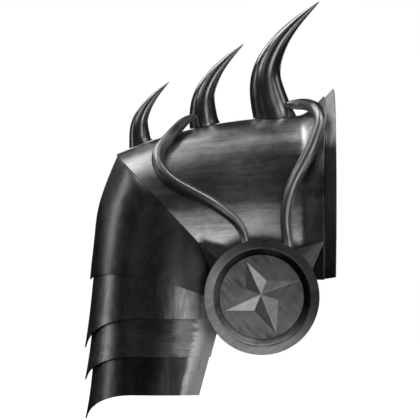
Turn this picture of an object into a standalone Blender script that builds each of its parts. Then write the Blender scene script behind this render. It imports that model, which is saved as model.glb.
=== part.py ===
"""Steel pauldron for a right shoulder, in metres.

X runs from the arm toward the neck, Y from the chest toward the back, Z up.
The zero is the seat under the top of the cap, where the shoulder carries it.
"""
import math

import bmesh
import bpy
import numpy
from mathutils import Vector

# Sheet metal
PLATE = 0.0014
PLATE_CLEARANCE = 0.0005
WRAP = math.radians(122)
SIDE_POWER = 0.85
ROUND_STEPS = 36

# Shoulder cap: a flared vault, cut on a mitre where the arm plate begins
CREASE_X = -0.1116
CREASE_Z = -0.0308
MITRE_SLOPE = 1.064
CAP_LENGTH = 0.2071
CAP_HALF_DEPTH = 0.085
CAP_BOTTOM = -0.155
ARCH_RISE = 0.0385
ARCH_POWER = 2.45
FLARE_SHARE = 0.1202
FLARE_LENGTH = CAP_LENGTH * FLARE_SHARE
FLARE_RISE = 0.0198
FLARE_DEPTH = 0.012
FLARE_POWER = 1.4
NECK_SWEEP = 0.0025
BARREL_ROWS = 6
FLARE_ROWS = 5
MITRE_ROUNDS = 40
NORMAL_STEP = 0.002

# Neck collar: the turned-out band at the neck edge
COLLAR_WIDTH = 0.0092
COLLAR_RISE = 0.0074
COLLAR_DEPTH = 0.0065
COLLAR_LIFT = 0.0025
COLLAR_LAP = 0.010
COLLAR_ROWS = 2

# Arm tube: the shape that the arm plate and the lames share
ARM_LENGTH = 0.2638
ARM_SPREAD = 0.0254
ARM_NARROWING = 0.012
INNER_SLANT = 0.295
LAP = 0.010
LAME_TUCK = 0.0030
HEM_POINT_SPAN = math.radians(65)
HEM_POINT_POWER = 1.9

# Outer line of the arm tube: drop down the arm, and reach outward of the crease
ARM_LINE = (
    (0.0, 0.0),
    (0.08, 0.33),
    (0.18, 0.68),
    (0.23, 0.79),
    (0.33, 0.875),
    (0.46, 1.0),
    (0.76, 1.0),
    (1.0, 0.92),
)

# Lames: hem, hem point and how far the point stands out, as shares of the arm length
LAMES = (
    ("lame_upper", 0.616, 0.731, 0.0235),
    ("lame_middle", 0.759, 0.853, 0.0258),
    ("lame_lower", 0.902, 1.0, 0.0296),
)
ARM_HEM = 0.4453
ARM_HEM_POINT = 0.475
ARM_HEM_START = 0.10
ARM_HEM_SLOPE = 0.1465
ARM_HEM_POWER = 1.68
ARM_POINT_OUT = 0.0012
ARM_POINT_POWER = 4
ARM_TUCK_POWER = 5
ARM_ROWS = 8
LAME_POINT_POWER = 2
LAME_ROWS = 5

# Horns: place, length and root radius as shares of the cap's length, lean in degrees, and bow
# as a share of the horn's length
HORNS = (
    ("horn_small", 0.119, 0.3308, 0.0579, 24.4, 0.160),
    ("horn_middle", 0.427, 0.4375, 0.0734, 25.5, 0.160),
    ("horn_large", 0.765, 0.5978, 0.1053, 21.2, 0.204),
)
HORN_SEAT = 0.0004
HORN_SIDES = 14

# Horn form: share of the bow, then rise and radius as shares of the horn length
HORN_FORM = (
    (0.24, 0.05, 0.160),
    (0.43, 0.10, 0.153),
    (0.76, 0.20, 0.138),
    (0.96, 0.30, 0.117),
    (1.00, 0.40, 0.100),
    (0.96, 0.50, 0.083),
    (0.87, 0.60, 0.066),
    (0.71, 0.70, 0.049),
    (0.51, 0.80, 0.034),
    (0.26, 0.90, 0.018),
)

# Medallion, hung in front of the cap's lower edge
MEDALLION_PLACE = 0.6948
MEDALLION_DROP = 0.0162
BACKING_STANDOFF = 0.0125
MEDALLION_X = CREASE_X + CAP_LENGTH * MEDALLION_PLACE
MEDALLION_Z = CAP_BOTTOM - MEDALLION_DROP
BACKING_REAR = -CAP_HALF_DEPTH - BACKING_STANDOFF
BACKING_THICKNESS = 0.0060
BACKING_RADIUS = 0.0500
RIM_RADIUS = 0.0564
RIM_LIP_RADIUS = 0.0472
RIM_BORE_RADIUS = 0.0413
RIM_THICKNESS = 0.0100
DIAL_THICKNESS = 0.0030
STAR_RADIUS = 0.0394
STAR_HEIGHT = 0.0068
STAR_PEAK = (-0.0008, 0.0027)
POINT_REACH = 0.0818
POINT_ROOT = 0.0380
POINT_HALF_WIDTH = 0.0212
POINT_TIP = 0.0008
POINT_ANGLES = (math.radians(41.5), math.radians(138.5))
POST_RADIUS = 0.0075
POST_RISE = 0.0330
POST_SIDES = 16
SEAT = 0.0003
TURN_STEPS = 48

# Corners of the star: turn in degrees and reach as a share of the star's radius
STAR_CORNERS = (
    (-159.3, 0.967),
    (-118.5, 0.388),
    (-68.0, 0.990),
    (-10.2, 0.417),
    (24.4, 1.017),
    (73.1, 0.425),
    (113.6, 0.975),
    (153.7, 0.437),
)

# Routes of the bent tubes: place along the cap and reach toward the front as shares of the
# cap's length, height as a share of the cap's height, and thickness as a share of the tube's
LEFT_ROUTE = (
    (0.3713, 0.0652, 0.9951, 0.456),
    (0.3312, 0.0990, 0.9631, 0.807),
    (0.2960, 0.1449, 0.9176, 0.965),
    (0.2593, 0.1931, 0.8660, 0.965),
    (0.2255, 0.1931, 0.8168, 0.982),
    (0.2086, 0.1931, 0.7763, 1.035),
    (0.2023, 0.1931, 0.7277, 1.088),
    (0.2110, 0.1931, 0.6884, 1.123),
    (0.2327, 0.1931, 0.6472, 1.105),
    (0.2723, 0.1931, 0.6005, 1.053),
    (0.3182, 0.1931, 0.5636, 1.018),
    (0.3694, 0.1931, 0.5292, 1.000),
    (0.4732, 0.1931, 0.4542, 1.000),
    (0.5640, 0.1931, 0.3682, 0.895),
    (0.5944, 0.1931, 0.3190, 0.825),
    (0.6127, 0.1931, 0.2661, 0.754),
)
RIGHT_ROUTE = (
    (0.8223, 0.0690, 1.0682, 0.491),
    (0.8605, 0.0811, 1.0664, 0.877),
    (0.8996, 0.1159, 1.0676, 1.000),
    (0.9314, 0.1787, 1.0565, 1.070),
    (0.9575, 0.2173, 1.0344, 1.140),
    (0.9705, 0.2173, 1.0074, 1.140),
    (0.9744, 0.2173, 0.9699, 1.088),
    (0.9696, 0.2173, 0.9262, 1.053),
    (0.9493, 0.2173, 0.8470, 1.123),
    (0.9150, 0.2173, 0.7468, 1.193),
    (0.8774, 0.2173, 0.6570, 1.193),
    (0.8498, 0.2173, 0.5913, 1.158),
    (0.8320, 0.2173, 0.5310, 1.123),
    (0.8189, 0.2173, 0.4659, 1.053),
    (0.8117, 0.2173, 0.4001, 1.000),
    (0.8107, 0.2173, 0.3411, 0.965),
    (0.8141, 0.2173, 0.2858, 0.930),
)
TUBE_RADIUS = 0.0057
TUBE_CLEARANCE = 0.0010
TUBE_APPROACH = 0.0380
CLOUD_ROWS = 160
COLLAR_CLOUD_ROWS = 10
TUBE_BEVEL = 4
TUBE_POINTS = 44
LEFT_END = -0.0155
RIGHT_END = 0.0262

# Finish of each material: grey, roughness and metallic
FINISHES = {
    "dark_plate": (0.20, 0.34, 1.0),
    "light_plate": (0.30, 0.32, 1.0),
    "horn_steel": (0.16, 0.28, 1.0),
    "tube_steel": (0.26, 0.30, 1.0),
    "medal_steel": (0.24, 0.42, 1.0),
    "star_steel": (0.48, 0.30, 1.0),
}


def start_scene():
    """Clear the scene and give the object a collection, and its joining bodies another."""
    for leftover in list(bpy.data.objects):
        bpy.data.objects.remove(leftover)
    visible = bpy.data.collections.new("pauldron")
    hidden = bpy.data.collections.new("joining_bodies")
    bpy.context.scene.collection.children.link(visible)
    bpy.context.scene.collection.children.link(hidden)
    return visible, hidden


def new_object(name, mesh, collection):
    """Link a mesh as a named object."""
    item = bpy.data.objects.new(name, mesh)
    collection.objects.link(item)
    return item


def paint(item, finish):
    """Give an object a Principled material of its own."""
    grey, roughness, metallic = FINISHES[finish]
    surface = bpy.data.materials.new(item.name + "_" + finish)
    surface.use_nodes = True
    shader = surface.node_tree.nodes["Principled BSDF"]
    shader.inputs["Base Color"].default_value = (grey, grey, grey, 1.0)
    shader.inputs["Roughness"].default_value = roughness
    shader.inputs["Metallic"].default_value = metallic
    item.data.materials.append(surface)


def section(angle):
    """Side and drop of the plate section, as shares of its half-depth and height."""
    side = math.copysign(abs(math.sin(angle)) ** SIDE_POWER, angle)
    drop = (1 - math.cos(angle)) / (1 - math.cos(WRAP))
    return side, drop


def read_line(rows, place):
    """Read a smooth line through rows of (place, value)."""
    count = len(rows)
    index = 0
    while index < count - 2 and place > rows[index + 1][0]:
        index += 1
    here, ahead = rows[index], rows[index + 1]
    span = ahead[0] - here[0]
    share = min(max((place - here[0]) / span, 0.0), 1.0)

    def slope(at):
        before, after = rows[max(at - 1, 0)], rows[min(at + 1, count - 1)]
        return (after[1] - before[1]) / (after[0] - before[0])

    rise = (2 * share ** 3 - 3 * share ** 2 + 1) * here[1]
    rise += (share ** 3 - 2 * share ** 2 + share) * span * slope(index)
    rise += (3 * share ** 2 - 2 * share ** 3) * ahead[1]
    rise += (share ** 3 - share ** 2) * span * slope(index + 1)
    return rise


def flare_at(x):
    """Share of the neck flare at X."""
    start = CREASE_X + CAP_LENGTH - FLARE_LENGTH
    return max(0.0, (x - start) / FLARE_LENGTH) ** FLARE_POWER


def ridge_at(x):
    """Height of the cap's ridge at X."""
    along = min(max((x - CREASE_X) / CAP_LENGTH, 0.0), 1.0)
    return CREASE_Z + ARCH_RISE * (1 - (1 - along) ** ARCH_POWER) + FLARE_RISE * flare_at(x)


def half_depth_at(x):
    """Half-depth of the cap at X."""
    return CAP_HALF_DEPTH + FLARE_DEPTH * flare_at(x)


def cap_point(angle, x):
    """Point on the outside of the cap."""
    side, drop = section(angle)
    ridge = ridge_at(x)
    swept = x - NECK_SWEEP * flare_at(x) * side ** 2
    return Vector((swept, half_depth_at(x) * side, ridge + (CAP_BOTTOM - ridge) * drop))


def mitre_x(angle):
    """Place in X where a line of the cap meets the mitre."""
    low, high = CREASE_X, CREASE_X + CAP_LENGTH
    for _ in range(MITRE_ROUNDS):
        middle = (low + high) / 2
        mitre_z = CREASE_Z - MITRE_SLOPE * (middle - CREASE_X)
        if cap_point(angle, middle).z > mitre_z:
            high = middle
        else:
            low = middle
    return (low + high) / 2


def mitre_point(angle):
    """Point on the crease between the cap and the arm plate."""
    return cap_point(angle, mitre_x(angle))


def arm_section(angle, z):
    """Point on the common arm tube at a height, before it is fitted to the crease."""
    side, drop = section(angle)
    down = (CREASE_Z - z) / ARM_LENGTH
    outer = CREASE_X - ARM_SPREAD * read_line(ARM_LINE, down)
    inner = mitre_x(WRAP) + INNER_SLANT * min(0.0, z - CAP_BOTTOM)
    depth = CAP_HALF_DEPTH - ARM_NARROWING * max(0.0, down)
    return Vector((outer + (inner - outer) * drop, depth * side, z))


def inset(point_at, angle, along, depth):
    """Move a surface point inward along the normal of its surface."""
    step = NORMAL_STEP
    around = point_at(angle + step, along) - point_at(angle - step, along)
    onward = point_at(angle, along + step) - point_at(angle, along - step)
    normal = around.cross(onward).normalized()
    centre = Vector((0.0, 0.0, 0.0))
    for turn in (-WRAP, 0.0, WRAP):
        centre += point_at(turn, along) / 3
    here = point_at(angle, along)
    if normal.dot(here - centre) < 0:
        normal = -normal
    return here - normal * depth


def sheet(name, point_at, rows, finish, collection):
    """Bend a grid to a surface and give it the plate's thickness."""
    mesh = bpy.data.meshes.new(name)
    net = bmesh.new()
    bmesh.ops.create_grid(net, x_segments=ROUND_STEPS, y_segments=rows, size=0.5)
    for vertex in net.verts:
        angle = -2 * WRAP * vertex.co.x
        vertex.co = point_at(angle, vertex.co.y + 0.5)
    net.to_mesh(mesh)
    net.free()
    item = new_object(name, mesh, collection)
    solid = item.modifiers.new("plate", "SOLIDIFY")
    solid.thickness = PLATE
    solid.offset = -1
    solid.use_even_offset = True
    paint(item, finish)
    return item


def make_cap(collection):
    """Shoulder cap, from the mitre to the neck edge."""
    flare_start = CREASE_X + CAP_LENGTH - FLARE_LENGTH
    barrel = BARREL_ROWS / (BARREL_ROWS + FLARE_ROWS)

    def at(angle, share):
        start = mitre_x(angle)
        if share <= barrel:
            return cap_point(angle, start + (flare_start - start) * share / barrel)
        return cap_point(angle, flare_start + FLARE_LENGTH * (share - barrel) / (1 - barrel))

    return sheet("shoulder_cap", at, BARREL_ROWS + FLARE_ROWS, "dark_plate", collection)


def make_collar(collection):
    """Neck collar, lapped inside the cap's neck edge and turned out beyond it."""
    neck_x = CREASE_X + CAP_LENGTH
    tuck = PLATE + PLATE_CLEARANCE

    def at(angle, share):
        rows_up = share * (COLLAR_ROWS + 1)
        if rows_up > COLLAR_ROWS + 0.5:
            return collar_edge(angle)
        lapped = neck_x - COLLAR_LAP * max(0.0, 1 - rows_up / COLLAR_ROWS)
        return inset(cap_point, angle, lapped - SEAT, tuck)

    return sheet("neck_collar", at, COLLAR_ROWS + 1, "light_plate", collection)


def hem_point(angle):
    """Share of the pointed dip in a hem at an angle."""
    return max(0.0, 1 - abs(angle) / HEM_POINT_SPAN) ** HEM_POINT_POWER


def arm_hem(angle):
    """Height of the arm plate's hem without its point."""
    drop = section(angle)[1]
    fall = ARM_HEM_SLOPE * max(0.0, drop - ARM_HEM_START) ** ARM_HEM_POWER
    return CREASE_Z - ARM_LENGTH * (ARM_HEM + fall)


def lame_hem(hem):
    """Height of a lame's hem without its point."""
    return CREASE_Z - ARM_LENGTH * hem


def make_arm_plate(collection):
    """Arm plate, from its hem up to the crease and a lap under the cap."""
    tuck = PLATE + PLATE_CLEARANCE

    def body(angle, share):
        top = mitre_point(angle)
        point_drop = (ARM_HEM_POINT - ARM_HEM) * ARM_LENGTH * hem_point(angle)
        hem = arm_hem(angle) - point_drop
        z = hem + (top.z - hem) * share
        place = arm_section(angle, z)
        place.x += (top.x - arm_section(angle, top.z).x) * share
        place.y += (top.y - arm_section(angle, top.z).y) * share
        place.x -= ARM_POINT_OUT * hem_point(angle) * max(0.0, 1 - share) ** ARM_POINT_POWER
        return place

    def at(angle, share):
        row = round(share * (ARM_ROWS + 1))
        if row > ARM_ROWS:
            return inset(cap_point, angle, mitre_x(angle) + LAP, tuck)
        if row == ARM_ROWS:
            under_cap = inset(cap_point, angle, mitre_x(angle), tuck)
            in_body = inset(body, angle, 1.0, tuck)
            return (under_cap + in_body) / 2
        return inset(body, angle, row / ARM_ROWS, tuck * (row / ARM_ROWS) ** ARM_TUCK_POWER)

    return sheet("arm_plate", at, ARM_ROWS + 1, "dark_plate", collection)


def make_lame(name, hem, point, stand_out, hem_above, finish, collection):
    """Lame, tucked under the piece above and pointed at its outer hem."""
    def at(angle, share):
        top = hem_above(angle) + LAP
        bottom = lame_hem(hem) - (point - hem) * ARM_LENGTH * hem_point(angle)
        z = bottom + (top - bottom) * share
        place = inset(arm_section, angle, z, LAME_TUCK * share)
        point_out = stand_out * ARM_LENGTH * hem_point(angle)
        place.x -= point_out * (1 - share) ** LAME_POINT_POWER
        return place

    return sheet(name, at, LAME_ROWS, finish, collection)


def loft(name, rings, finish, collection):
    """Skin rings of points that may differ in shape; a single point closes an end."""
    mesh = bpy.data.meshes.new(name)
    net = bmesh.new()
    placed = [[net.verts.new(point) for point in ring] for ring in rings]
    for low, high in zip(placed, placed[1:]):
        sides = max(len(low), len(high))
        for step in range(sides):
            ahead = (step + 1) % sides
            if len(low) == 1:
                net.faces.new((low[0], high[ahead], high[step]))
            elif len(high) == 1:
                net.faces.new((low[step], low[ahead], high[0]))
            else:
                net.faces.new((low[step], low[ahead], high[ahead], high[step]))
    bmesh.ops.recalc_face_normals(net, faces=net.faces)
    net.to_mesh(mesh)
    net.free()
    item = new_object(name, mesh, collection)
    paint(item, finish)
    return item


def cap_height(x, y):
    """Height of the outside of the cap over a point."""
    ridge = ridge_at(x)
    height = (ridge - CAP_BOTTOM) / (1 - math.cos(WRAP))
    share = min(abs(y) / half_depth_at(x), 1.0) ** (1 / SIDE_POWER)
    return ridge - height * (1 - math.sqrt(1 - share ** 2))


def cap_front(x, z):
    """Place in Y of the outside of the cap's front wall at X and Z."""
    ridge = ridge_at(x)
    height = (ridge - CAP_BOTTOM) / (1 - math.cos(WRAP))
    share = min(max((ridge - height - z) / height, -1.0), 1.0)
    return -half_depth_at(x) * math.sqrt(1 - share ** 2) ** SIDE_POWER


def make_horn(name, place, reach, root_reach, lean_angle, bow, collection):
    """Horn, seated on the ridge, bowed outward and drawn to a point."""
    length = CAP_LENGTH * reach
    root = CAP_LENGTH * root_reach
    base_x = CREASE_X + CAP_LENGTH * place
    base = Vector((base_x, 0.0, ridge_at(base_x)))
    lean = math.radians(lean_angle)
    axis = Vector((math.sin(lean), 0.0, math.cos(lean)))
    across = Vector((math.cos(lean), 0.0, -math.sin(lean)))
    turns = [2 * math.pi * step / HORN_SIDES for step in range(HORN_SIDES)]

    def seat_ring(radius):
        ring = []
        for turn in turns:
            x = base.x + radius * math.cos(turn)
            y = radius * math.sin(turn)
            ring.append(Vector((x, y, cap_height(x, y) + HORN_SEAT)))
        return ring

    centres = []
    for bowed, rise, _ in HORN_FORM:
        centres.append(base + (axis * rise - across * bow * bowed) * length)
    tip = base + axis * length
    path = [base] + centres + [tip]
    rings = [[base + Vector((0.0, 0.0, HORN_SEAT))], seat_ring(root / 2), seat_ring(root)]
    for index, (_, _, radius) in enumerate(HORN_FORM):
        heading = (path[index + 2] - path[index]).normalized()
        if index == 0:
            heading = (heading + Vector((0.0, 0.0, 1.0))).normalized()
        outward = Vector((heading.z, 0.0, -heading.x))
        ring = []
        for turn in turns:
            spoke = outward * math.cos(turn) + Vector((0.0, 1.0, 0.0)) * math.sin(turn)
            ring.append(centres[index] + spoke * radius * length)
        rings.append(ring)
    rings.append([tip])
    return loft(name, rings, "horn_steel", collection)


def collar_edge(angle):
    """Point on the outer edge of the neck collar."""
    neck_x = CREASE_X + CAP_LENGTH
    side, drop = section(angle)
    crown = ridge_at(neck_x) + COLLAR_RISE
    foot = CAP_BOTTOM + COLLAR_LIFT
    depth = half_depth_at(neck_x) + COLLAR_DEPTH
    return Vector((neck_x + COLLAR_WIDTH, depth * side, crown + (foot - crown) * drop))


def front_cloud():
    """Points all over the front of the cap and the collar, for the tubes to ride on."""
    points = []
    neck_x = CREASE_X + CAP_LENGTH
    for turn in range(CLOUD_ROWS + 1):
        angle = -WRAP * turn / CLOUD_ROWS
        start = mitre_x(angle)
        for step in range(CLOUD_ROWS + 1):
            points.append(cap_point(angle, start + (neck_x - start) * step / CLOUD_ROWS))
        neck, edge = points[-1], collar_edge(angle)
        for step in range(COLLAR_CLOUD_ROWS):
            points.append(neck.lerp(edge, (step + 1) / COLLAR_CLOUD_ROWS))
    return numpy.array([tuple(point) for point in points])


def ride_depth(cloud, x, z, radius):
    """Place in Y where a tube at X and Z rides on the front of the cap."""
    across = (cloud[:, 0] - x) ** 2 + (cloud[:, 2] - z) ** 2
    reach = radius + TUBE_CLEARANCE
    near = across < reach ** 2
    if not near.any():
        return 0.0
    return float((cloud[near, 1] - numpy.sqrt(reach ** 2 - across[near])).min())


def smooth_route(rows, count):
    """Read evenly shared points of a smooth curve through the rows."""
    reached = [0.0]
    for here, ahead in zip(rows, rows[1:]):
        reached.append(reached[-1] + (Vector(ahead[:3]) - Vector(here[:3])).length)
    lines = []
    for column in range(4):
        lines.append([(along, row[column]) for along, row in zip(reached, rows)])
    points = []
    for step in range(count):
        along = reached[-1] * step / (count - 1)
        points.append([read_line(line, along) for line in lines])
    return points


def tube_rows(route, aside):
    """Rows of (X, reach toward the front, Z, radius) of a tube, down to the backing's edge."""
    height = CREASE_Z + ARCH_RISE - CAP_BOTTOM
    rows = []
    for along, reach, rise, thickness in route:
        x = CREASE_X + CAP_LENGTH * along
        rows.append((x, CAP_LENGTH * reach, CAP_BOTTOM + height * rise, TUBE_RADIUS * thickness))
    radius = rows[-1][3]
    drop = math.sqrt((BACKING_RADIUS + SEAT) ** 2 - (abs(aside) - radius) ** 2)
    rows.append((MEDALLION_X + aside, rows[-1][1], MEDALLION_Z + drop + SEAT, radius))
    return rows


def make_tube(name, route, aside, cloud, collection):
    """Bent tube, tapered at its upper end and sunk behind the medallion's rim."""
    rows = tube_rows(route, aside)
    end_z, end_radius = rows[-1][2], rows[-1][3]
    behind_rim = BACKING_REAR - BACKING_THICKNESS + end_radius + SEAT
    curve = bpy.data.curves.new(name, "CURVE")
    curve.dimensions = "3D"
    curve.bevel_depth = 1.0
    curve.bevel_resolution = TUBE_BEVEL
    curve.use_fill_caps = True
    spline = curve.splines.new("POLY")
    points = smooth_route(rows, TUBE_POINTS)
    spline.points.add(len(points) - 1)
    for target, (x, reach, z, radius) in zip(spline.points, points):
        y = min(ride_depth(cloud, x, z, radius), -reach)
        near_rim = min(max(1 - (z - end_z) / TUBE_APPROACH, 0.0), 1.0)
        y += (behind_rim - y) * near_rim ** 2
        target.co = (x, y, z, 1.0)
        target.radius = radius
    item = bpy.data.objects.new(name, curve)
    collection.objects.link(item)
    paint(item, "tube_steel")
    return item


def make_turned(name, profile, front, finish, collection):
    """Turn a closed profile of (radius, depth behind the front) about the medallion's axis."""
    mesh = bpy.data.meshes.new(name)
    net = bmesh.new()
    ring = [net.verts.new((radius, front + depth, 0.0)) for radius, depth in profile]
    loop = [net.edges.new((ring[at - 1], ring[at])) for at in range(len(ring))]
    centre = (0.0, 0.0, 0.0)
    axis = (0.0, 1.0, 0.0)
    bmesh.ops.spin(net, geom=ring + loop, cent=centre, axis=axis, angle=2 * math.pi,
                   steps=TURN_STEPS, use_merge=True)
    bmesh.ops.remove_doubles(net, verts=net.verts, dist=0.00001)
    bmesh.ops.recalc_face_normals(net, faces=net.faces)
    net.to_mesh(mesh)
    net.free()
    item = new_object(name, mesh, collection)
    item.location = (MEDALLION_X, 0.0, MEDALLION_Z)
    paint(item, finish)
    return item


def make_disc(name, radius, rear, thickness, collection):
    """Disc on the medallion's axis, from its rear face toward the front."""
    mesh = bpy.data.meshes.new(name)
    net = bmesh.new()
    bmesh.ops.create_cone(net, cap_ends=True, segments=TURN_STEPS, radius1=radius,
                          radius2=radius, depth=thickness)
    for vertex in net.verts:
        across, up, toward = vertex.co
        vertex.co = (across, rear - thickness / 2 - toward, up)
    bmesh.ops.recalc_face_normals(net, faces=net.faces)
    net.to_mesh(mesh)
    net.free()
    item = new_object(name, mesh, collection)
    item.location = (MEDALLION_X, 0.0, MEDALLION_Z)
    return item


def make_point(name, angle, collection):
    """Pointed wing of the backing, ridged along its front."""
    outward = Vector((math.cos(angle), 0.0, math.sin(angle)))
    aside = Vector((-math.sin(angle), 0.0, math.cos(angle)))
    front = BACKING_REAR - BACKING_THICKNESS
    rear_of = Vector((0.0, BACKING_REAR, 0.0))
    root = outward * POINT_ROOT
    tip = outward * POINT_REACH
    corners = [
        root + aside * POINT_HALF_WIDTH + rear_of,
        root - aside * POINT_HALF_WIDTH + rear_of,
        root + Vector((0.0, front, 0.0)),
        tip + rear_of,
        tip + Vector((0.0, BACKING_REAR - POINT_TIP, 0.0)),
    ]
    mesh = bpy.data.meshes.new(name)
    net = bmesh.new()
    for corner in corners:
        net.verts.new(corner)
    bmesh.ops.convex_hull(net, input=net.verts)
    bmesh.ops.recalc_face_normals(net, faces=net.faces)
    net.to_mesh(mesh)
    net.free()
    item = new_object(name, mesh, collection)
    item.location = (MEDALLION_X, 0.0, MEDALLION_Z)
    item.hide_render = True
    item.display_type = "WIRE"
    return item


def make_backing(collection, joining):
    """Backing disc with its two pointed wings, in one solid."""
    backing = make_disc("medallion_backing", BACKING_RADIUS, BACKING_REAR,
                        BACKING_THICKNESS, collection)
    paint(backing, "medal_steel")
    for index, angle in enumerate(POINT_ANGLES):
        wing = make_point("wing_body_" + str(index + 1), angle, joining)
        join = backing.modifiers.new("wing", "BOOLEAN")
        join.operation = "UNION"
        join.solver = "EXACT"
        join.object = wing
    return backing


def make_rim(collection):
    """Rim ring with a bevel down to the dial."""
    front = BACKING_REAR - BACKING_THICKNESS - SEAT - RIM_THICKNESS
    dial_front = RIM_THICKNESS - DIAL_THICKNESS
    profile = (
        (RIM_RADIUS, RIM_THICKNESS),
        (RIM_RADIUS, 0.0),
        (RIM_LIP_RADIUS, 0.0),
        (RIM_BORE_RADIUS, dial_front),
        (RIM_BORE_RADIUS, RIM_THICKNESS),
    )
    return make_turned("medallion_rim", profile, front, "medal_steel", collection)


def make_dial(collection):
    """Dial disc inside the rim."""
    rear = BACKING_REAR - BACKING_THICKNESS - SEAT
    dial = make_disc("medallion_dial", RIM_BORE_RADIUS - SEAT, rear, DIAL_THICKNESS, collection)
    paint(dial, "medal_steel")
    return dial


def make_star(collection):
    """Four-pointed star, ridged from each tip to its middle."""
    rear = BACKING_REAR - BACKING_THICKNESS - SEAT - DIAL_THICKNESS - SEAT
    mesh = bpy.data.meshes.new("medallion_star")
    net = bmesh.new()
    bmesh.ops.create_cone(net, cap_ends=True, segments=8, radius1=STAR_RADIUS, radius2=0.0,
                          depth=STAR_HEIGHT)
    for vertex in net.verts:
        if vertex.co.xy.length < STAR_RADIUS / 2:
            vertex.co.x, vertex.co.y = STAR_PEAK
    corners = [vertex for vertex in net.verts if vertex.co.xy.length > STAR_RADIUS / 2]
    corners.sort(key=lambda vertex: math.atan2(vertex.co.y, vertex.co.x))
    for vertex, (degrees, reach) in zip(corners, STAR_CORNERS):
        turn = math.radians(degrees)
        vertex.co.x = STAR_RADIUS * reach * math.cos(turn)
        vertex.co.y = STAR_RADIUS * reach * math.sin(turn)
    for vertex in net.verts:
        across, up, toward = vertex.co
        vertex.co = (across, rear - STAR_HEIGHT / 2 - toward, up)
    net.to_mesh(mesh)
    net.free()
    star = new_object("medallion_star", mesh, collection)
    star.location = (MEDALLION_X, 0.0, MEDALLION_Z)
    paint(star, "star_steel")
    return star


def make_post(collection):
    """Plain post between the cap's front wall and the backing, out of sight."""
    middle = Vector((MEDALLION_X, 0.0, MEDALLION_Z + POST_RISE))
    flat, fitted = [], []
    for step in range(POST_SIDES):
        turn = 2 * math.pi * step / POST_SIDES
        x = middle.x + POST_RADIUS * math.cos(turn)
        z = middle.z + POST_RADIUS * math.sin(turn)
        flat.append(Vector((x, BACKING_REAR + SEAT, z)))
        fitted.append(Vector((x, cap_front(x, z) - PLATE_CLEARANCE, z)))
    front_middle = Vector((middle.x, BACKING_REAR + SEAT, middle.z))
    rear_middle = Vector((middle.x, cap_front(middle.x, middle.z) - PLATE_CLEARANCE, middle.z))
    rings = [[front_middle], flat, fitted, [rear_middle]]
    return loft("medallion_post", rings, "medal_steel", collection)


def build():
    """Build every piece of the pauldron."""
    visible, joining = start_scene()
    make_cap(visible)
    make_collar(visible)
    make_arm_plate(visible)
    hem_above = arm_hem
    for name, hem, point, stand_out in LAMES:
        make_lame(name, hem, point, stand_out, hem_above, "dark_plate", visible)

        def hem_above(angle, share=hem):
            return lame_hem(share)

    for name, place, reach, root_reach, lean_angle, bow in HORNS:
        make_horn(name, place, reach, root_reach, lean_angle, bow, visible)
    cloud = front_cloud()
    make_tube("tube_left", LEFT_ROUTE, LEFT_END, cloud, visible)
    make_tube("tube_right", RIGHT_ROUTE, RIGHT_END, cloud, visible)
    make_backing(visible, joining)
    make_rim(visible)
    make_dial(visible)
    make_star(visible)
    make_post(visible)


build()
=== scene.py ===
"""Dark steel pauldron: its plates, horns, tubes and medallion, with their finishes and light.

X runs from the arm toward the neck, Y from the chest toward the back, Z up, all in metres.
"""
import math

import bpy
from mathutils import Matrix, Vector


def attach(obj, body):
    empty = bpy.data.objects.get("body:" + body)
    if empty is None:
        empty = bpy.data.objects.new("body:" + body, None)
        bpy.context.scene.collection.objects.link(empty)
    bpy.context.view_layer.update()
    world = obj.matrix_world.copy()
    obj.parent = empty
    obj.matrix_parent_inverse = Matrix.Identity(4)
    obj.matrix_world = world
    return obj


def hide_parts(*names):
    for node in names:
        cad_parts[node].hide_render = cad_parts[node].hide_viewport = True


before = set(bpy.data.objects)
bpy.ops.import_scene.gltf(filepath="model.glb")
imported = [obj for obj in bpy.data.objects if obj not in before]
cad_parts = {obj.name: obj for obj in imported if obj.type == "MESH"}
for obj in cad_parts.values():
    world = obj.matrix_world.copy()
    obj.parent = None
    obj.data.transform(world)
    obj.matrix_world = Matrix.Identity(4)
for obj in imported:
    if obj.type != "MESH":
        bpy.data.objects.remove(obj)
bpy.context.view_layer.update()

# Camera, level with the middle of the pauldron
CAMERA_PLACE = (-0.018, -4.0, -0.0865)
CAMERA_SENSOR = 36.0
CAMERA_LENS = 342.86
CAMERA_TURN = (math.pi / 2, 0.0, 0.0)

# Floor and white dome
FLOOR_Z = -0.335
STAGE_RADIUS = 9.0
STAGE_ROUGHNESS = 0.9
STAGE_GLOW = 1.0
FLOOR_GREY = 0.9
DOME_GREY = 0.0

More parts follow.
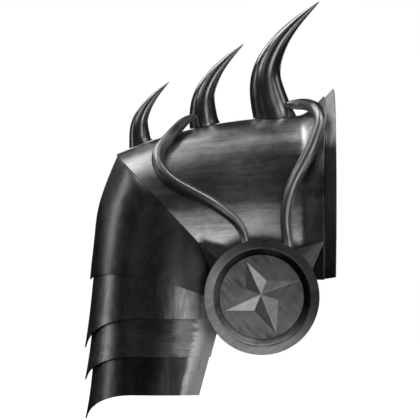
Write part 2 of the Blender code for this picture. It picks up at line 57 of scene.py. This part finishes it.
# Studio lights: name, turn from the front toward the neck side and lift in degrees, width,
# height and glow
LIGHTS = (
    ("left_strip", -94.0, 4.0, 0.26, 1.60, 1.0),
    ("left_high", -90.0, 62.0, 0.56, 0.56, 3.6),
    ("left_front_top", -45.0, 62.0, 0.48, 0.48, 0.6),
    ("left_front_high", -60.0, 37.0, 0.48, 0.48, 1.25),
    ("left_back_top", -135.0, 62.0, 0.48, 0.48, 2.3),
    ("left_back_high", -134.0, 37.0, 0.50, 0.50, 3.3),
    ("top", 0.0, 86.0, 0.48, 0.48, 1.05),
    ("right_top", 45.0, 62.0, 0.48, 0.48, 3.2),
    ("front_high_left", -30.0, 37.0, 0.48, 0.48, 0.30),
    ("front_high_right", 30.0, 37.0, 0.48, 0.48, 0.80),
    ("right_high", 60.0, 37.0, 0.48, 0.48, 1.5),
    ("front_right", 28.0, 12.0, 0.60, 0.48, 1.4),
    ("left_front", -49.0, -1.0, 0.40, 0.40, 0.12),
    ("front_low_right", 24.0, -12.0, 0.48, 0.48, 0.95),
    ("right_low", 54.0, -14.0, 0.48, 0.48, 0.6),
    ("right_side", 95.0, 25.0, 0.40, 0.40, 0.9),
    ("front_middle", 0.0, 5.0, 0.60, 0.26, 0.55),
    ("front_low", 0.0, -12.0, 0.48, 0.48, 0.75),
    ("floor_front", 0.0, -31.0, 0.60, 0.90, 1.9),
    ("back_right", 154.0, -12.0, 0.90, 0.90, 1.5),
)
LIGHT_AIM = Vector((0.0, 0.0, -0.08))
LIGHT_DISTANCE = 1.7
WORLD_GREY = 0.02

# Finish of each steel: dark tone, light tone, roughness, how far the mottle changes it, strength
# of the relief, turn of the grain in degrees about X, Y and Z, and how many times longer than wide
# the grain is. The tones are partly painted light and shade: pieces of one steel get lighter and
# darker copies of it, such as the two tubes and the three lames
FINISHES = {
    "cap_steel": (0.27, 0.60, 0.33, 0.05, 0.04, (0, 3, 0), 6.0),
    "collar_steel": (0.15, 0.25, 0.52, 0.06, 0.04, (0, 90, 0), 7.0),
    "arm_steel": (0.37, 0.78, 0.33, 0.06, 0.04, (0, 50, 0), 6.0),
    # The three lames are one steel, with tones set one by one as painted light and shade, the
    # lower lame darkest
    "lame_upper_steel": (0.36, 0.84, 0.33, 0.06, 0.04, (0, 90, 0), 6.0),
    "lame_middle_steel": (0.35, 0.88, 0.34, 0.06, 0.04, (0, 0, 0), 6.0),
    "lame_lower_steel": (0.22, 0.50, 0.33, 0.06, 0.04, (0, 90, 0), 6.0),
    "horn_steel": (0.36, 0.46, 0.235, 0.02, 0.01, (0, 80, 0), 8.0),
    # The two tubes are one steel, darker on the left and lighter on the right as painted shade and
    # light
    "tube_left_steel": (0.35, 0.43, 0.33, 0.03, 0.01, (0, 90, 0), 6.0),
    "tube_right_steel": (0.48, 0.58, 0.33, 0.03, 0.01, (0, 90, 0), 6.0),
    "rim_steel": (0.27, 0.64, 0.38, 0.08, 0.04, (0, 35, 0), 3.0),
    "backing_steel": (0.11, 0.21, 0.38, 0.08, 0.04, (0, 35, 0), 3.0),
    "dial_steel": (0.12, 0.42, 0.38, 0.08, 0.04, (0, -50, 0), 8.0),
    "star_steel": (0.54, 0.86, 0.38, 0.06, 0.03, (0, 40, 0), 8.0),
}

# Painted light and shade across a piece, as bands of painted reflection, highlight and shade in
# the
# tone: direction, where it starts and ends along it in metres, ragged width of its edge, and the
# share of the tone at its end
PAINTED_LIGHT_BANDS = {
    # Cap: a painted shade band below the ridge, a painted reflection lower on its front, painted
    # shade toward the neck and a painted highlight on the flare's upper corner
    "cap_steel": (
        ((0.2, 0.0, -1.0), 0.018, 0.040, 0.008, 0.80),
        ((0.1, 0.0, -1.0), 0.076, 0.092, 0.006, 2.2),
        ((1.0, 0.0, 0.0), 0.020, 0.060, 0.010, 0.55),
        ((0.7, 0.0, 0.7), 0.022, 0.046, 0.004, 2.9),
    ),
    # Collar: painted shade on its lower part and a painted highlight along its top
    "collar_steel": (
        ((0.0, 0.0, 1.0), -0.080, -0.064, 0.006, 0.60),
        ((0.0, 0.0, 1.0), -0.028, -0.014, 0.002, 8.0),
    ),
    # Arm: painted shade along its outer edge and across its side toward the neck
    "arm_steel": (
        ((-1.0, 0.0, 0.0), 0.120, 0.132, 0.002, 0.35),
        ((1.0, 0.0, -0.35), -0.088, -0.060, 0.006, 0.45),
        ((1.0, 0.0, 0.0), -0.066, -0.040, 0.006, 0.18),
    ),
    # Lames: painted shade along the outer edge, painted shade and lighter bands across them, and a
    # painted reflection along the inner edge
    "lame_upper_steel": (
        ((-1.0, 0.0, 0.0), 0.124, 0.136, 0.002, 0.40),
        ((1.0, 0.0, 0.0), -0.122, -0.104, 0.004, 0.35),
        ((1.0, 0.0, 0.0), -0.088, -0.074, 0.006, 1.5),
        ((1.0, 0.0, -0.2), -0.028, 0.004, 0.012, 2.3),
    ),
    "lame_middle_steel": (
        ((-1.0, 0.0, 0.0), 0.126, 0.138, 0.002, 0.45),
        ((1.0, 0.0, 0.0), -0.120, -0.104, 0.006, 0.36),
        ((1.0, 0.0, 0.0), -0.080, -0.066, 0.006, 0.60),
        ((1.0, 0.0, 0.0), -0.058, -0.044, 0.012, 2.7),
        ((1.0, 0.0, -0.2), 0.005, 0.015, 0.009, 3.6),
    ),
    "lame_lower_steel": (
        ((-1.0, 0.0, 0.0), 0.128, 0.138, 0.002, 0.45),
        ((1.0, 0.0, 0.0), -0.114, -0.100, 0.004, 0.34),
        ((1.0, 0.0, 0.0), -0.080, -0.066, 0.004, 0.60),
        ((1.0, 0.0, 0.0), -0.056, -0.040, 0.006, 1.9),
        ((1.0, 0.0, -0.2), 0.005, 0.010, 0.003, 6.5),
    ),
    # Rim and dial: painted shade toward the upper right
    "rim_steel": (((0.7, 0.0, 0.7), -0.135, -0.060, 0.012, 0.16),),
    "dial_steel": (((0.7, 0.0, 0.7), -0.110, -0.075, 0.020, 0.60),),
}

# Noises in every steel, from broad to fine, with their scale over a metre
CLOUDS = {"Scale": 22.0, "Detail": 4.0, "Roughness": 0.5}
PATCHES = {"Scale": 70.0, "Detail": 4.0, "Roughness": 0.55, "Distortion": 0.6}
SMUDGES = {"Scale": 190.0, "Detail": 5.0, "Roughness": 0.65, "Distortion": 0.8}
GRAIN = {"Scale": 900.0, "Detail": 3.0, "Roughness": 0.6}

# Shares of the noises in the mottle, the values of it where the tone is dark and light, and the
# lightest tone that a steel may have
SMUDGE_TONE = 0.45
PATCH_TONE = 0.25
CLOUD_TONE = 0.3
MOTTLE_DARK = 0.38
MOTTLE_LIGHT = 0.62
LIGHTEST_TONE = 0.95

# Share of the grain in the roughness, shares of the noises in the relief, and its height in metres
GRAIN_ROUGHNESS = 0.04
GRAIN_RELIEF = 0.4
SMUDGE_RELIEF = 0.6
RELIEF_HEIGHT = 0.0001

# Pieces: node, finish, slot, rounds of smoothing, rounding of the edges, and the swell that makes
# up for what the smoothing takes off
PIECES = (
    ("shoulder_cap", "cap_steel", "dark_plate", 2, 0.00028, 0.0),
    ("neck_collar", "collar_steel", "light_plate", 2, 0.00028, 0.0),
    ("arm_plate", "arm_steel", "dark_plate", 2, 0.00028, 0.0),
    ("lame_upper", "lame_upper_steel", "dark_plate", 2, 0.00028, 0.0),
    ("lame_middle", "lame_middle_steel", "dark_plate", 2, 0.00028, 0.0),
    ("lame_lower", "lame_lower_steel", "dark_plate", 2, 0.00028, 0.0),
    ("horn_small", "horn_steel", "horn_steel", 2, 0.0, 0.0003),
    ("horn_middle", "horn_steel", "horn_steel", 2, 0.0, 0.0004),
    ("horn_large", "horn_steel", "horn_steel", 2, 0.0, 0.0005),
    ("tube_left", "tube_left_steel", "tube_steel", 2, 0.0, 0.0002),
    ("tube_right", "tube_right_steel", "tube_steel", 2, 0.0, 0.0002),
    ("medallion_backing", "backing_steel", "medal_steel", 0, 0.00025, 0.0),
    ("medallion_rim", "rim_steel", "medal_steel", 2, 0.0006, 0.0),
    ("medallion_dial", "dial_steel", "medal_steel", 0, 0.0, 0.0),
    ("medallion_star", "star_steel", "star_steel", 0, 0.00022, 0.0),
)

# Horns whose tip keeps its height, the angle of a sharp edge, how far a four-sided face may lean,
# the distance at which corners are merged, and the rows of faces along a rounded edge
POINTED = ("horn_small", "horn_middle", "horn_large")
SHARP = math.radians(38)
LEAN = math.radians(70)
MERGE = 0.00001
EDGE_ROWS = 2


class Wire:
    """Output of a shader's node, as a number that can be used in arithmetic."""

    def __init__(self, maker, socket):
        self.maker = maker
        self.socket = socket

    def work(self, operation, *values):
        return self.maker.add("ShaderNodeMath", {"operation": operation}, values)

    def __add__(self, other):
        return self.work("ADD", self, other)

    def __radd__(self, other):
        return self.work("ADD", other, self)

    def __sub__(self, other):
        return self.work("SUBTRACT", self, other)

    def __rsub__(self, other):
        return self.work("SUBTRACT", other, self)

    def __mul__(self, other):
        return self.work("MULTIPLY", self, other)

    def __rmul__(self, other):
        return self.work("MULTIPLY", other, self)


class Maker:
    """Builds the nodes of one material."""

    def __init__(self, name):
        self.surface = bpy.data.materials.new(name)
        self.surface.use_nodes = True
        self.tree = self.surface.node_tree
        self.shader = self.tree.nodes["Principled BSDF"]

    def feed(self, socket, value):
        """Give a socket a wire or a plain value."""
        if isinstance(value, Wire):
            self.tree.links.new(value.socket, socket)
        else:
            socket.default_value = value

    def add(self, kind, settings, values, output=0):
        """Add a node, with its settings first and then the values of its sockets."""
        node = self.tree.nodes.new(kind)
        for name, value in settings.items():
            setattr(node, name, value)
        if isinstance(values, dict):
            for name, value in values.items():
                self.feed(node.inputs[name], value)
        else:
            for place, value in enumerate(values):
                self.feed(node.inputs[place], value)
        return Wire(self, node.outputs[output])

    def set(self, name, value):
        """Give a socket of the surface's own shader its value."""
        self.feed(self.shader.inputs[name], value)


def make_painted_band(maker, place, ragged, shade):
    """Share of the tone across a piece, which changes at a ragged edge: a band of painted shade
    where the share is below one, and of painted reflection where it is above.
    """
    direction, start, end, width, share = shade
    along = maker.add("ShaderNodeVectorMath", {"operation": "DOT_PRODUCT"}, (place, direction), 1)
    return maker.add("ShaderNodeMapRange", {"clamp": True, "interpolation_type": "SMOOTHSTEP"}, {
        "Value": along + (ragged - 0.5) * width * 2.0,
        "From Min": start, "From Max": end, "To Min": 1.0, "To Max": share,
    })


def make_steel(name):
    """Dark steel with clouds, patches, smudges and a drawn grain, and with bands of painted
    reflection and shade across some pieces.
    """
    dark, light, roughness, mottle_share, relief, turn, length = FINISHES[name]
    maker = Maker(name)
    place = maker.add("ShaderNodeTexCoord", {}, {}, "Object")
    turned = maker.add("ShaderNodeMapping", {"vector_type": "POINT"}, {
        "Vector": place,
        "Rotation": [math.radians(degrees) for degrees in turn],
    })
    drawn = maker.add("ShaderNodeMapping", {"vector_type": "POINT"}, {
        "Vector": turned,
        "Scale": (1.0 / length, 1.0, 1.0),
    })
    clouds = maker.add("ShaderNodeTexNoise", {}, {"Vector": turned, **CLOUDS})
    patches = maker.add("ShaderNodeTexNoise", {}, {"Vector": turned, **PATCHES})
    smudges = maker.add("ShaderNodeTexNoise", {}, {"Vector": drawn, **SMUDGES})
    grain = maker.add("ShaderNodeTexNoise", {}, {"Vector": drawn, **GRAIN})
    mottle = maker.add("ShaderNodeMapRange", {"clamp": True}, {
        "Value": smudges * SMUDGE_TONE + patches * PATCH_TONE + clouds * CLOUD_TONE,
        "From Min": MOTTLE_DARK, "From Max": MOTTLE_LIGHT, "To Min": 0.0, "To Max": 1.0,
    })
    tone_and_painted_light = dark + (light - dark) * mottle
    # Bands of painted reflection and shade multiply the tone
    for shade in PAINTED_LIGHT_BANDS.get(name, ()):
        tone_and_painted_light = tone_and_painted_light * make_painted_band(maker, place, smudges, shade)
    maker.set("Base Color", tone_and_painted_light.work("MINIMUM", tone_and_painted_light, LIGHTEST_TONE))
    maker.set("Metallic", 1.0)
    maker.set("Roughness", roughness + mottle_share * (mottle - 0.5)
              + GRAIN_ROUGHNESS * (grain - 0.5))
    maker.set("Normal", maker.add("ShaderNodeBump", {}, {
        "Strength": relief, "Distance": RELIEF_HEIGHT,
        "Height": grain * GRAIN_RELIEF + smudges * SMUDGE_RELIEF,
    }))
    return maker.surface


def choose(item):
    """Select one object alone and make it the active one."""
    bpy.ops.object.select_all(action="DESELECT")
    item.select_set(True)
    bpy.context.view_layer.objects.active = item


def finish_with(item, kind, **settings):
    """Add a modifier and apply it."""
    choose(item)
    step = item.modifiers.new(kind.lower(), kind)
    for name, value in settings.items():
        setattr(step, name, value)
    bpy.ops.object.modifier_apply(modifier=step.name)


def copy_node(node):
    """Copy a node of the frame and merge its loose triangles into faces."""
    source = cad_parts[node]
    item = bpy.data.objects.new(node + "_steel", source.data.copy())
    bpy.context.scene.collection.objects.link(item)
    item.data.materials.clear()
    choose(item)
    bpy.ops.object.mode_set(mode="EDIT")
    bpy.ops.mesh.select_mode(type="EDGE")
    bpy.ops.mesh.select_all(action="SELECT")
    bpy.ops.mesh.remove_doubles(threshold=MERGE)
    bpy.ops.mesh.tris_convert_to_quads(face_threshold=SHARP, shape_threshold=LEAN)
    bpy.ops.object.mode_set(mode="OBJECT")
    return item


def crease_sharp(item):
    """Hold the sharp edges of a piece while it is smoothed."""
    choose(item)
    bpy.ops.object.mode_set(mode="EDIT")
    bpy.ops.mesh.select_all(action="DESELECT")
    bpy.ops.mesh.edges_select_sharp(sharpness=SHARP)
    bpy.ops.transform.edge_crease(value=1.0)
    bpy.ops.object.mode_set(mode="OBJECT")


def crease_tip(item):
    """Hold the tip of a horn at its full height while the horn is smoothed."""
    choose(item)
    bpy.ops.object.mode_set(mode="EDIT")
    bpy.ops.mesh.select_mode(type="VERT")
    bpy.ops.mesh.select_all(action="DESELECT")
    bpy.ops.object.mode_set(mode="OBJECT")
    tip = max(item.data.vertices, key=lambda point: point.co.z)
    tip.select = True
    bpy.ops.object.mode_set(mode="EDIT")
    bpy.ops.transform.vert_crease(value=1.0)
    bpy.ops.object.mode_set(mode="OBJECT")


def make_piece(node, finish, slot, rounds, edge, swell):
    """Turn a node of the frame into a smooth piece with rounded edges and its finish."""
    item = copy_node(node)
    if rounds:
        crease_sharp(item)
        if node in POINTED:
            crease_tip(item)
        finish_with(item, "SUBSURF", levels=rounds, render_levels=rounds)
    if swell:
        finish_with(item, "DISPLACE", strength=swell, mid_level=0.0)
    choose(item)
    bpy.ops.object.shade_smooth_by_angle(angle=SHARP)
    if edge:
        finish_with(item, "BEVEL", width=edge, segments=EDGE_ROWS, limit_method="ANGLE",
                    angle_limit=SHARP, harden_normals=True)
    item.data.materials.append(steels[finish])
    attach(item, "root")
    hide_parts(node)


def make_white(name, grey):
    """Plain glowing surface for the stage."""
    maker = Maker(name)
    maker.set("Base Color", (grey, grey, grey, 1.0))
    maker.set("Roughness", STAGE_ROUGHNESS)
    maker.set("Emission Color", (1.0, 1.0, 1.0, 1.0))
    maker.set("Emission Strength", STAGE_GLOW)
    return maker.surface


def make_stage():
    """Pale floor, and a white dome that the camera sees. The steel mirrors neither."""
    bpy.ops.object.select_all(action="DESELECT")
    bpy.ops.mesh.primitive_circle_add(vertices=96, radius=STAGE_RADIUS, fill_type="NGON",
                                      location=(0.0, 0.0, FLOOR_Z))
    floor = bpy.context.active_object
    floor.name = "floor"
    floor.data.materials.append(make_white("floor_white", FLOOR_GREY))
    floor.visible_glossy = False
    bpy.ops.object.select_all(action="DESELECT")
    bpy.ops.mesh.primitive_ico_sphere_add(subdivisions=4, radius=STAGE_RADIUS)
    dome = bpy.context.active_object
    dome.name = "dome"
    dome.data.materials.append(make_white("dome_white", DOME_GREY))
    dome.visible_glossy = False
    dome.visible_diffuse = False
    dome.visible_shadow = False


def make_lights():
    """Soft studio lights around the pauldron, in a dim grey room."""
    for name, turn, lift, width, height, glow in LIGHTS:
        around, up = math.radians(turn), math.radians(lift)
        toward = Vector((math.sin(around) * math.cos(up), -math.cos(around) * math.cos(up),
                         math.sin(up)))
        lamp = bpy.data.lights.new(name, "AREA")
        lamp.shape = "RECTANGLE"
        lamp.size = width
        lamp.size_y = height
        lamp.energy = glow * math.pi * width * height
        item = bpy.data.objects.new(name, lamp)
        item.location = LIGHT_AIM + toward * LIGHT_DISTANCE
        item.rotation_euler = toward.to_track_quat("Z", "Y").to_euler()
        item.visible_camera = False
        bpy.context.scene.collection.objects.link(item)
    world = bpy.data.worlds.new("room")
    world.use_nodes = True
    shade = world.node_tree.nodes["Background"]
    shade.inputs["Color"].default_value = (WORLD_GREY, WORLD_GREY, WORLD_GREY, 1.0)
    shade.inputs["Strength"].default_value = 1.0
    bpy.context.scene.world = world


def make_camera():
    """Camera in front of the pauldron, looking straight toward its back."""
    lens = bpy.data.cameras.new("camera")
    lens.sensor_fit = "HORIZONTAL"
    lens.sensor_width = CAMERA_SENSOR
    lens.lens = CAMERA_LENS
    camera = bpy.data.objects.new("camera", lens)
    camera.location = CAMERA_PLACE
    camera.rotation_euler = CAMERA_TURN
    bpy.context.scene.collection.objects.link(camera)
    bpy.context.scene.camera = camera
    bpy.context.scene.view_settings.view_transform = "Standard"


make_camera()
make_stage()
make_lights()
steels = {name: make_steel(name) for name in FINISHES}
for row in PIECES:
    make_piece(*row)
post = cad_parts["medallion_post"]
post.data.materials.clear()
post.data.materials.append(steels["rim_steel"])
